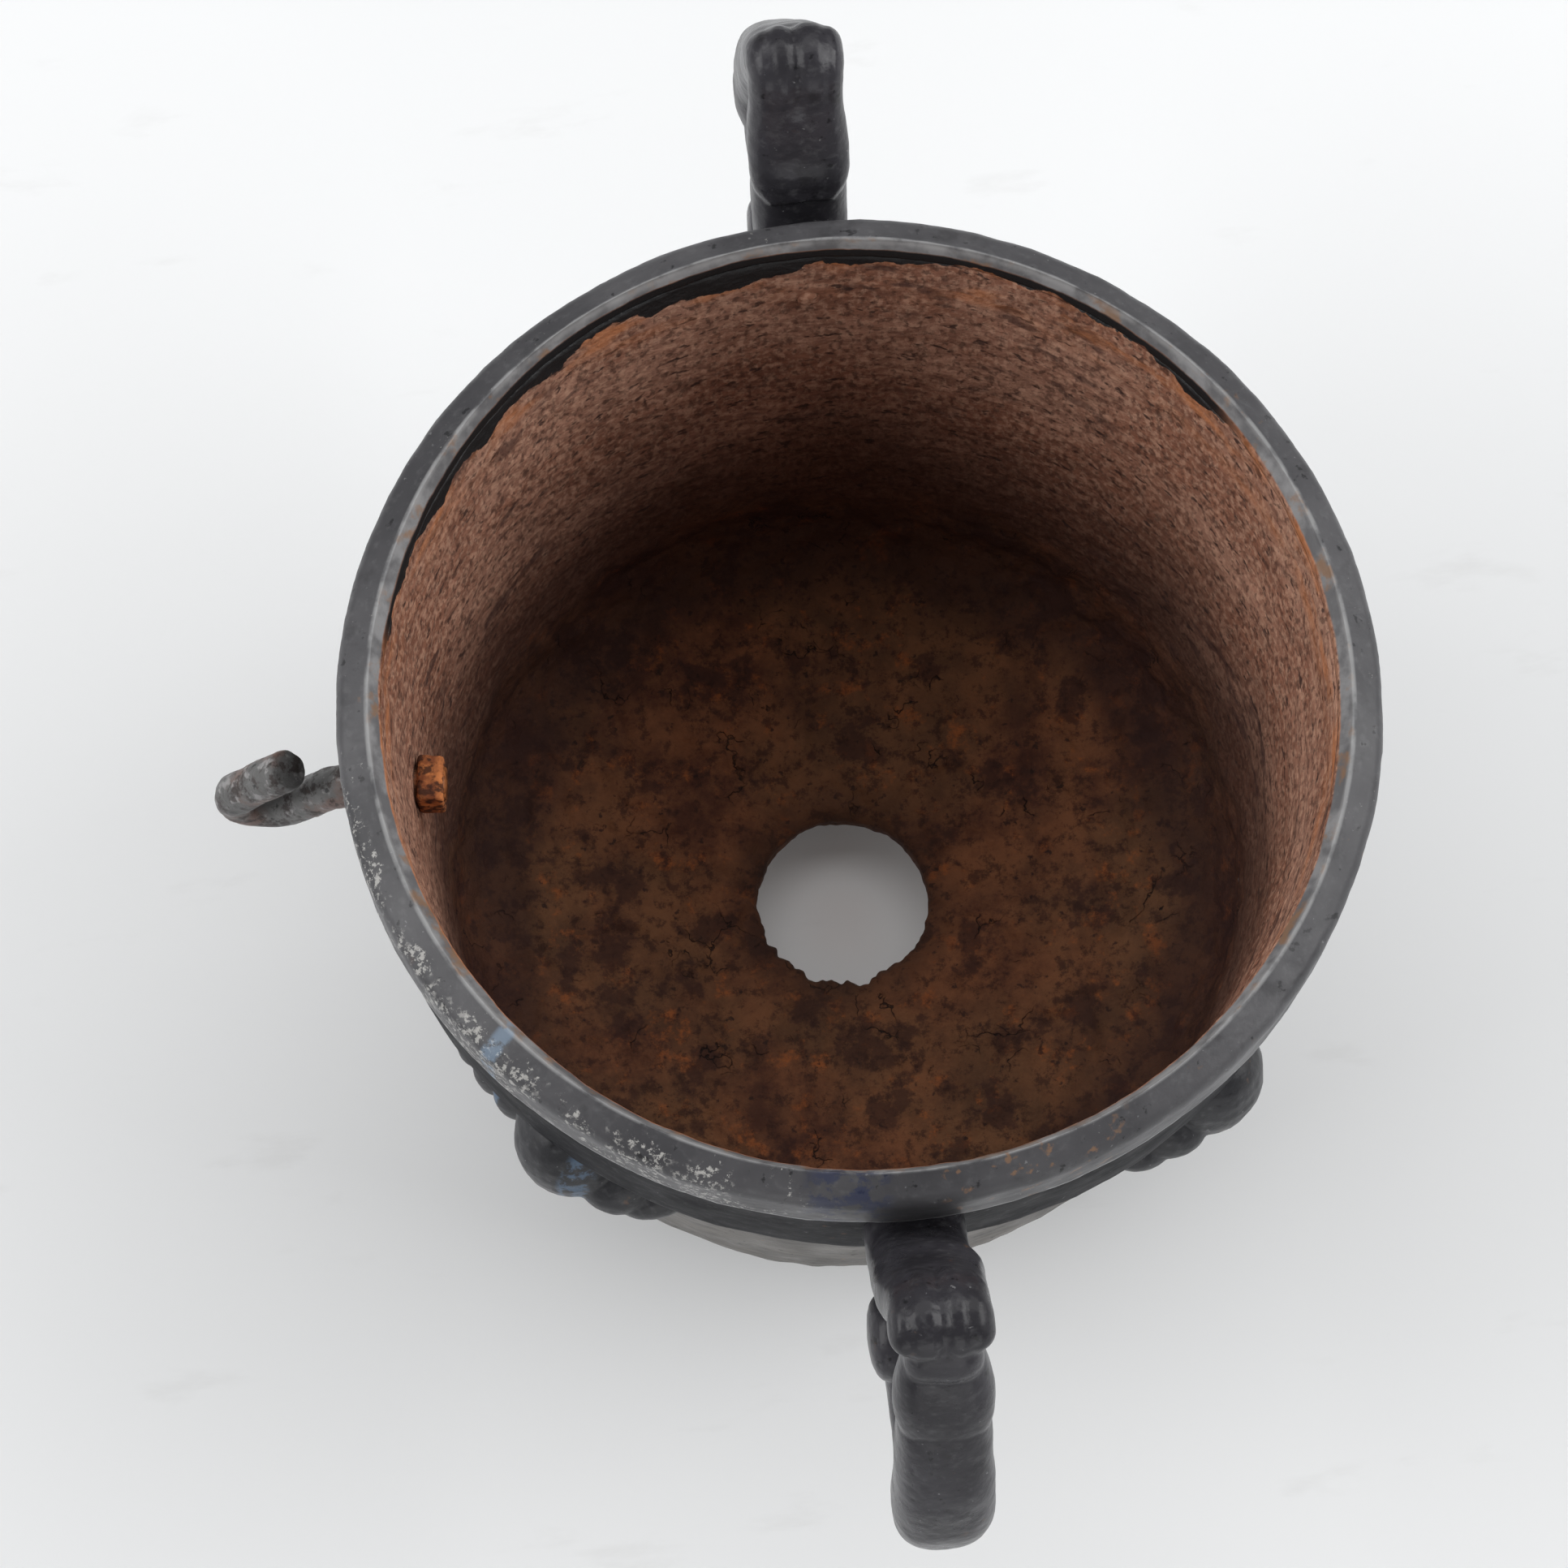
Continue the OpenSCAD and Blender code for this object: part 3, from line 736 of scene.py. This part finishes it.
for side, turn, offset in (("front", -math.pi / 2, 1.7), ("back", math.pi / 2, 8.3)):
    handle = melt("scroll_handle_" + side, scroll, 0.75 * mm, 5)
    handle.data.transform(Matrix.Rotation(turn, 4, "Z"))
    roughen(handle.data, [(22 * mm, 0.9 * mm, offset), (7 * mm, 0.22 * mm, offset),
                          (2.6 * mm, 0.08 * mm, offset)])
    handle.data.materials.append(handle_paint)
    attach(handle, "pot")
    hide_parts("handle_" + side)

# ---- Handle rivets ------------------------------------------------------------------------
# Two iron rivets hold each handle. They were driven from inside and dressed flush with the
# wall, and rust has since grown over them.
rivet_low, rivet_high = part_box("handle_rivets")
rivet_r = rivet_high.x
rivet_spread = (rivet_high.z - rivet_low.z) / 2 - rivet_r
rivet_mid_z = (rivet_high.z + rivet_low.z) / 2
rivet_end = rivet_high.y - 0.5 * mm
rivet_start = bore_r(rivet_mid_z)
shank = [(rivet_start + 0.3 * mm, rivet_r - 1.4 * mm), (rivet_start + 0.9 * mm, rivet_r - 0.3 * mm),
         (rivet_start + 2 * mm, rivet_r), (rivet_end - 1 * mm, rivet_r), (rivet_end, rivet_r - 1 * mm)]
rivets = join("handle_rivet_set", [radial_rod("rivet", turn, rivet_mid_z + lift * rivet_spread, shank)
                                   for turn in (-math.pi / 2, math.pi / 2) for lift in (-1, 1)])
roughen(rivets.data, [(3 * mm, 0.15 * mm, 2.0)])
rivets.data.materials.append(rust)
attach(rivets, "pot")
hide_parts("handle_rivets")

# ---- Bow knots and swags ------------------------------------------------------------------
# Cast drapery in low relief hangs from four bow knots under the belt, two knots beside each
# handle. Its folds lap over each other like petals, larger at the knots than in the middle.
knot_turn = 46
knot_z = belt_low.z - 20 * mm
fold_root = 2 * mm


def wall_r(z):
    """The wall's outer radius at a height."""
    return wall_r_low + (wall_r_top - wall_r_low) * (z - wall_low_z) / (wall_top_z - wall_low_z)


def petal(azimuth, z, across, tall, proud, lean=0.0, tilt=0.0, around=32, count=15):
    """One fold on the wall, in millimetres and degrees: lean lifts one of its upright edges off
    the wall, and tilt turns it on the wall."""
    rings = []
    for h in np.sin(np.linspace(-math.pi / 2, math.pi / 2, count)) * 0.999:
        here = math.sqrt(1 - h * h)
        rings.append([(proud * here * math.copysign(abs(math.cos(t)) ** 0.8, math.cos(t)),
                       across * here * math.sin(t), tall * h)
                      for t in np.linspace(0, math.tau, around, endpoint=False)])
    mesh = rings_to_mesh("petal", np.array(rings) * mm)
    mesh.transform(Matrix.Rotation(math.radians(lean), 4, "Z"))
    mesh.transform(Matrix.Rotation(math.radians(tilt), 4, "X"))
    mesh.transform(Matrix.Translation((wall_r(z) - fold_root, 0, z)))
    mesh.transform(Matrix.Rotation(math.radians(azimuth), 4, "Z"))
    return mesh


def trim_to_wall(mesh):
    """Folds never reach through the wall: their backs lie just under its skin."""
    points = points_of(mesh)
    r = np.hypot(points[:, 0], points[:, 1])
    least = wall_r(points[:, 2]) - fold_root - 0.2 * mm
    scale = np.where(r < least, least / r, 1.0)
    points[:, :2] *= scale[:, None]
    mesh.vertices.foreach_set("co", points.ravel())
    mesh.update()


ornament_paint, tree, shader, skin = old_paint(
    "ornament_paint", (0.014, 0.014, 0.016), (0.032, 0.032, 0.036),
    stains=0.5, rust_spots=0.4, edges=0.9, gloss=(0.32, 0.5), grain=0.3)
blue = between(tree, mottle(tree, 0.003, 7, shift=(3, 5, 9), rough=0.65), 0.46, 0.56)
patch = plus(tree, between(tree, bearing(tree, -129), 0.9994, 0.9999),
             between(tree, bearing(tree, -143.5), 0.9998, 0.99995))
skin = coat(tree, times(tree, times(tree, blue, patch), 0.55), skin, (0.11, 0.18, 0.28))
tree.links.new(skin, shader.inputs["Base Color"])


def cast_ornament(name, meshes, node_name, offset):
    """Folds melted together, roughened and painted, in place of their CAD node."""
    made = melt(name, meshes, 0.75 * mm, 3)
    trim_to_wall(made.data)
    roughen(made.data, [(12 * mm, 0.5 * mm, offset), (4 * mm, 0.15 * mm, offset)])
    made.data.materials.append(ornament_paint)
    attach(made, "pot")
    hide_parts(node_name)


for name, azimuth, hand in (("front_left", -90 - knot_turn, 1), ("front_right", -90 + knot_turn, -1),
                            ("back_left", 90 + knot_turn, -1), ("back_right", 90 - knot_turn, 1)):
    folds = [petal(azimuth + hand * 2.6, knot_z - 2 * mm, 21, 25, 24, hand * 30, hand * 12),
             petal(azimuth + hand * 9.2, knot_z - 8 * mm, 17, 15, 19.5, hand * 34, hand * 18),
             petal(azimuth + hand * 13.8, knot_z - 10 * mm, 15, 11, 15.5, hand * 34, hand * 24),
             petal(azimuth + hand * 5.6, knot_z - 18 * mm, 16, 9, 18, hand * 14, hand * 12),
             petal(azimuth - hand * 1.5, knot_z - 19 * mm, 8, 15, 13, 0, -hand * 10)]
    cast_ornament("bow_" + name, folds, "knot_" + name, azimuth * 0.1)

swag_drop = 42 * mm
for name, middle in (("left", 180), ("right", 0)):
    folds = []
    reach = 90 - knot_turn
    for hand in (-1, 1):
        for k, turn in enumerate(np.linspace(6.5, reach - 1.2, 9)):
            smaller = 1 - 0.045 * k
            away = (reach - turn) / reach
            z = belt_low.z - 15 * mm - swag_drop * (1 - away * away)
            slope = math.degrees(math.atan2(2 * swag_drop * away / reach, wall_r(z) * math.radians(1)))
            folds.append(petal(middle + hand * (reach - turn), z, 9.5 * smaller, 15.5 * smaller,
                               13.5 * smaller, hand * 20, hand * slope * 0.6))
    cast_ornament("swag_" + name, folds, "festoon_" + name, middle * 0.02 + 1)

# ---- Feet and their rivets ----------------------------------------------------------------
# Three short turned feet carry the pot. Each is held by one rivet through the floor, dressed
# flush inside and lost under the rust.
foot_paint, tree, shader, skin = old_paint(
    "foot_paint", (0.036, 0.036, 0.038), (0.07, 0.068, 0.066),
    stains=0.6, rust_spots=1.0, edges=0.8, gloss=(0.42, 0.65), grain=0.5)
tree.links.new(skin, shader.inputs["Base Color"])


def turned(name, profile, at, around=64):
    """A turned piece on an upright axis. Its profile is (radius, height)."""
    rings = [[(at.x + r * math.cos(t), at.y + r * math.sin(t), z)
              for t in np.linspace(0, math.tau, around, endpoint=False)] for r, z in profile]
    return rings_to_mesh(name, rings)


foot_profile = [(10, 0), (13, 0), (14, 1.2), (14, 4.5), (12.4, 7), (10.2, 9.5), (9.8, 13.5), (11.6, 17),
                (13.4, 18.6), (13.6, 20.6), (12.4, 23), (13.2, 29), (15, 36), (16, 41)]
for k in (1, 2, 3):
    foot_low, foot_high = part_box("foot_%d" % k)
    reach = Vector(((foot_low.x + foot_high.x) / 2, (foot_low.y + foot_high.y) / 2, 0))
    profile = [(r * mm, ground_z + h * mm) for r, h in smooth_run(foot_profile, 60)]
    profile = [(10 * mm, ground_z)] + profile[1:]
    foot = new_object("turned_foot_%d" % k, turned("foot", profile, reach))
    roughen(foot.data, [(9 * mm, 0.5 * mm, k + 0.4), (3 * mm, 0.2 * mm, k + 2.4)],
            lambda points: np.clip((points[:, 2] - ground_z) / (2 * mm), 0, 1))
    foot.data.materials.append(foot_paint)
    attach(foot, "pot")
    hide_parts("foot_%d" % k)

foot_rivet_r = 5 * mm
foot_rho = 104 * mm
peg_low, peg_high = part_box("foot_rivets")
peg_profile = [(foot_rivet_r - 1 * mm, peg_low.z), (foot_rivet_r, peg_low.z + 1 * mm),
               (foot_rivet_r, peg_high.z - 3.4 * mm), (foot_rivet_r - 0.6 * mm, peg_high.z - 2.4 * mm),
               (foot_rivet_r - 1.8 * mm, peg_high.z - 1.8 * mm)]
peg_places = [Matrix.Rotation(math.radians(a), 3, "Z") @ Vector((foot_rho, 0, 0)) for a in (90, 210, 330)]
pegs = join("foot_rivet_set", [turned("peg", peg_profile, at) for at in peg_places])
pegs.data.materials.append(rust)
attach(pegs, "pot")
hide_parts("foot_rivets")

# ---- Hook ---------------------------------------------------------------------------------
# A hook bent from half-inch iron rod turns in a hole in the wall. Its shank is threaded inside
# the pot; outside it droops, bends back up tightly and ends in a flat-cut tip.
rod_r = 6.5 * mm
nut_t = 9 * mm
nut_gap = 0.9 * mm
nut_near = bore_r(hook_z) - nut_gap - nut_t
rod_start = nut_near - 0.6 * mm


def rod_path(start, runs, step):
    """Points and directions along a rod bent in one plane: runs are (length, turn in degrees)."""
    at, way, path = np.array(start), 0.0, []
    for length, turn in runs:
        count = max(2, round(length / step))
        for _ in range(count):
            path.append((at[0], at[1], way))
            way += math.radians(turn) / count / 2
            at = at + length / count * np.array((math.cos(way), math.sin(way)))
            way += math.radians(turn) / count / 2
    path.append((at[0], at[1], way))
    return path


droop, tip_turn = -48, 178
droop_r, bend_r = 15 * mm, 11 * mm
droop_starts_r = 172 * mm
middle_run, tip_run = 20.6 * mm, 30.8 * mm
bends = [(droop_starts_r - rod_start, 0), (droop_r * math.radians(-droop), droop), (middle_run, 0),
         (bend_r * math.radians(tip_turn), tip_turn), (tip_run, 0)]
path = rod_path((rod_start, hook_z), bends, 1.0 * mm)
out = Vector((math.cos(hook_azimuth), math.sin(hook_azimuth), 0))
side = Vector((-out.y, out.x, 0))
thicker_outside = 0.13
pitted_from_r = 160 * mm
rings = []
for k, (rho, z, way) in enumerate(path):
    across = Vector((0, 0, math.cos(way))) - out * math.sin(way)
    ends = min(k, len(path) - 1 - k)
    outside = min(1.0, max(0.0, (rho - wall_r_top - 2 * mm) / (6 * mm))) if k < len(path) / 2 else 1.0
    r = rod_r * (1 + thicker_outside * outside) - (0.9 * mm, 0.3 * mm, 0, 0)[min(ends, 3)]
    middle = out * rho + Vector((0, 0, z))
    rings.append([middle + (side * math.cos(t) + across * math.sin(t)) * r
                  for t in np.linspace(0, math.tau, 36, endpoint=False)])
hook_mesh = rings_to_mesh("hook_rod", rings)
roughen(hook_mesh, [(14 * mm, 0.6 * mm, 4.0), (4.5 * mm, 0.3 * mm, 1.0), (2 * mm, 0.16 * mm, 6.0)],
        lambda points: np.clip((np.hypot(points[:, 0], points[:, 1]) - pitted_from_r) / (10 * mm), 0.15, 1))
collar_start = wall_r(hook_z + rod_r) + 0.4 * mm
collar_profile = [(0, 9.5), (0.6, 11), (2.4, 11), (5.5, 7.6), (7.5, 6.2)]
collar = radial_rod("collar", hook_azimuth, hook_z,
                    [(collar_start + d * mm, r * mm) for d, r in collar_profile])
roughen(collar, [(4 * mm, 0.5 * mm, 3.0)])
hook = join("rod_hook", [hook_mesh, collar])
hook_paint, tree, shader, skin = old_paint(
    "hook_paint", (0.085, 0.083, 0.082), (0.15, 0.148, 0.146), worn=(0.30, 0.30, 0.30),
    stains=0.5, rust_spots=1.0, edges=0.9, gloss=(0.38, 0.6), grain=0.8)
flakes = between(tree, mottle(tree, 0.012, 7, shift=(2, 7, 7)), 0.50, 0.62)
skin = coat(tree, times(tree, flakes, 0.65), skin, (0.16, 0.085, 0.065))
bright = between(tree, mottle(tree, 0.0028, 6, shift=(5, 1, 3)), 0.54, 0.66)
skin = coat(tree, times(tree, bright, 0.7), skin, (0.32, 0.31, 0.31))
pocks = between(tree, mottle(tree, 0.0035, 7, shift=(1, 4, 7), rough=0.65), 0.50, 0.60)
skin = coat(tree, times(tree, pocks, 0.8), skin, (0.030, 0.020, 0.018))
inside = between(tree, axis_distance(tree), bore_r_low + 8 * mm, bore_r_low + 5 * mm)
inside_rust = coat(tree, between(tree, mottle(tree, 0.0019, 4), 0.40, 0.60),
                   (0.36, 0.13, 0.045), (0.10, 0.034, 0.014))
skin = coat(tree, inside, skin, inside_rust)
tree.links.new(skin, shader.inputs["Base Color"])
hook.data.materials.append(hook_paint)
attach(hook, "swivel_hook")
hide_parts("hook")

# ---- Hook nut -----------------------------------------------------------------------------
# A square blacksmith's nut is screwed on the shank inside the pot. It has never been painted
# and is orange with granular rust, its edges eaten round.
nut_half = 8.4 * mm
corner_blunt = 9


def nut_section(t):
    """The nut's closed section at one angle about its hole: (distance from the axis, radius)."""
    blunt = abs(math.cos(t)) ** corner_blunt + abs(math.sin(t)) ** corner_blunt
    reach = nut_half / blunt ** (1 / corner_blunt)
    nut_far = nut_near + nut_t
    return [(nut_near + 0.6 * mm, rod_r - 0.2 * mm), (nut_near, rod_r + 0.8 * mm),
            (nut_near, reach - 1.2 * mm), (nut_near + 0.3 * mm, reach - 0.4 * mm),
            (nut_near + 1.1 * mm, reach), (nut_far - 1.1 * mm, reach),
            (nut_far - 0.3 * mm, reach - 0.4 * mm), (nut_far, reach - 1.2 * mm),
            (nut_far, rod_r + 0.8 * mm), (nut_far - 0.6 * mm, rod_r - 0.2 * mm)]


up = Vector((0, 0, 1))
rings = []
for t in np.linspace(0, math.tau, 160, endpoint=False):
    ring = []
    corners = nut_section(t)
    spoke = side * math.cos(t) + up * math.sin(t)
    for (d0, r0), (d1, r1) in zip(corners, corners[1:] + corners[:1]):
        for share in (0, 0.34, 0.67):
            d, r = d0 + (d1 - d0) * share, r0 + (r1 - r0) * share
            ring.append(out * d + up * hook_z + spoke * r)
    rings.append(ring)
nut_mesh = rings_to_mesh("nut", rings, loop=True)
roughen(nut_mesh, [(5 * mm, 0.45 * mm, 2.0), (1.6 * mm, 0.3 * mm, 4.0)])
nut = new_object("square_nut", nut_mesh)
nut_rust, tree, shader = new_material("nut_rust")
skin = coat(tree, between(tree, mottle(tree, 0.004, 6), 0.35, 0.65),
            (0.24, 0.070, 0.024), (0.66, 0.230, 0.070))
grain = between(tree, mottle(tree, 0.0024, 5), 0.46, 0.58)
skin = coat(tree, times(tree, grain, 0.9), skin, (0.046, 0.014, 0.007))
tree.links.new(skin, shader.inputs["Base Color"])
shader.inputs["Roughness"].default_value = 0.9
relief(tree, shader, (mottle(tree, 0.0012, 3), 0.5 * mm))
nut.data.materials.append(nut_rust)
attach(nut, "swivel_hook")
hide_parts("hook_nut")
